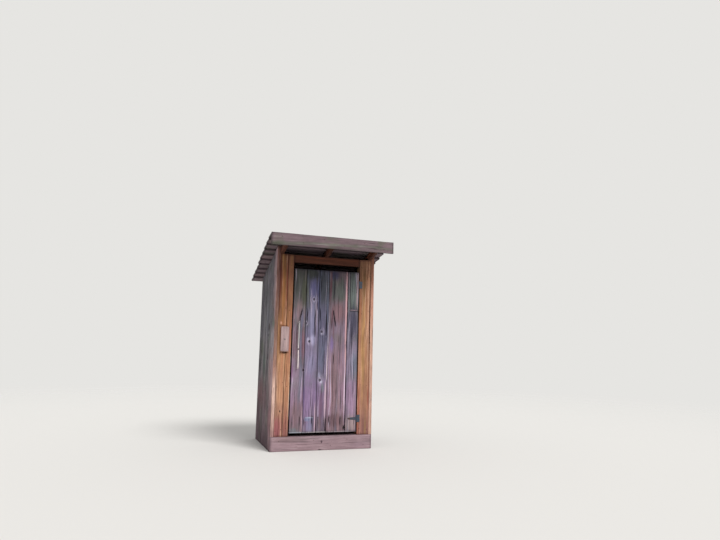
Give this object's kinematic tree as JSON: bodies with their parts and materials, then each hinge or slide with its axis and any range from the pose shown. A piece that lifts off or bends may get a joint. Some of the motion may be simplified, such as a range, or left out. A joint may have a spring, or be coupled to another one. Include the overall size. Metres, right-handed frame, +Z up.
{
  "type": "wooden outhouse",
  "caption": "Small plank outhouse with a lapped-board shed roof, a hinged plank door, a stick handle and a wooden turn button on the jamb.",
  "frame": {"origin": "on the ground, under the centre of the overall box", "axes": "+X to the right seen from the front, +Y to the back, +Z up"},
  "size_m": [1.49, 1.4782, 2.4639],
  "materials": {
    "sill_timber": "bare weathered sawn timber, grey-brown and damp at the foot",
    "frame_timber": "bare sawn framing timber, brown under cover",
    "wall_plank": "bare rough-sawn planks, silver-grey with green and purple stains",
    "jamb_board": "bare cedar, orange-tan, sheltered and little weathered",
    "header_timber": "bare cedar, dark reddish brown",
    "roof_board": "bare weathered boards, purplish grey-brown",
    "door_board": "bare weathered planks, blue-grey to mauve with dark checks",
    "peeled_stick": "peeled stick, pale and smooth from use",
    "button_board": "bare sawn board, pale pinkish grey",
    "hinge_steel": "dull blue-grey plated steel with rust at the edges"
  },
  "bodies": {
    "cabin": {"front_sill": "sill_timber", "back_sill": "frame_timber", "left_sill": "frame_timber", "right_sill": "frame_timber", "floor_joists": "frame_timber", "floor_boards": "wall_plank", "front_left_post": "frame_timber", "front_right_post": "frame_timber", "back_left_post": "frame_timber", "back_right_post": "frame_timber", "left_door_stud": "frame_timber", "right_door_stud": "frame_timber", "front_beam": "header_timber", "back_plate": "frame_timber", "back_blocking": "frame_timber", "left_girt": "frame_timber", "right_girt": "frame_timber", "back_girt": "frame_timber", "left_wall": "wall_plank", "right_wall": "wall_plank", "back_wall": "wall_plank", "left_jamb_board": "jamb_board", "left_jamb_strip": "jamb_board", "right_jamb_board": "jamb_board", "header_board": "header_timber", "rafters": "header_timber", "roof_boards": "roof_board", "fascia_board": "roof_board", "upper_hinge_leaf": "hinge_steel", "lower_hinge_leaf": "hinge_steel", "turn_button_screw": "hinge_steel"},
    "door": {"door_board_1": "door_board", "door_board_2": "door_board", "door_board_3": "door_board", "door_board_4": "door_board", "door_board_5": "door_board", "door_patch": "door_board", "upper_ledge": "door_board", "lower_ledge": "door_board", "door_brace": "door_board", "door_handle": "peeled_stick", "upper_hinge_strap": "hinge_steel", "lower_hinge_strap": "hinge_steel"},
    "turn_button": {"turn_button": "button_board"}
  },
  "joints": [
    {"name": "door_hinge", "type": "hinge", "parent": "cabin", "child": "door", "pos_m": [0.4165, -0.44309, 0], "axis": [0, 0, 1], "range_deg": [0, 110]},
    {"name": "turn_button_pivot", "type": "hinge", "parent": "cabin", "child": "turn_button", "pos_m": [-0.49, -0.45, 1.27], "axis": [0, 1, 0], "range_deg": [0, 90]}
  ]
}
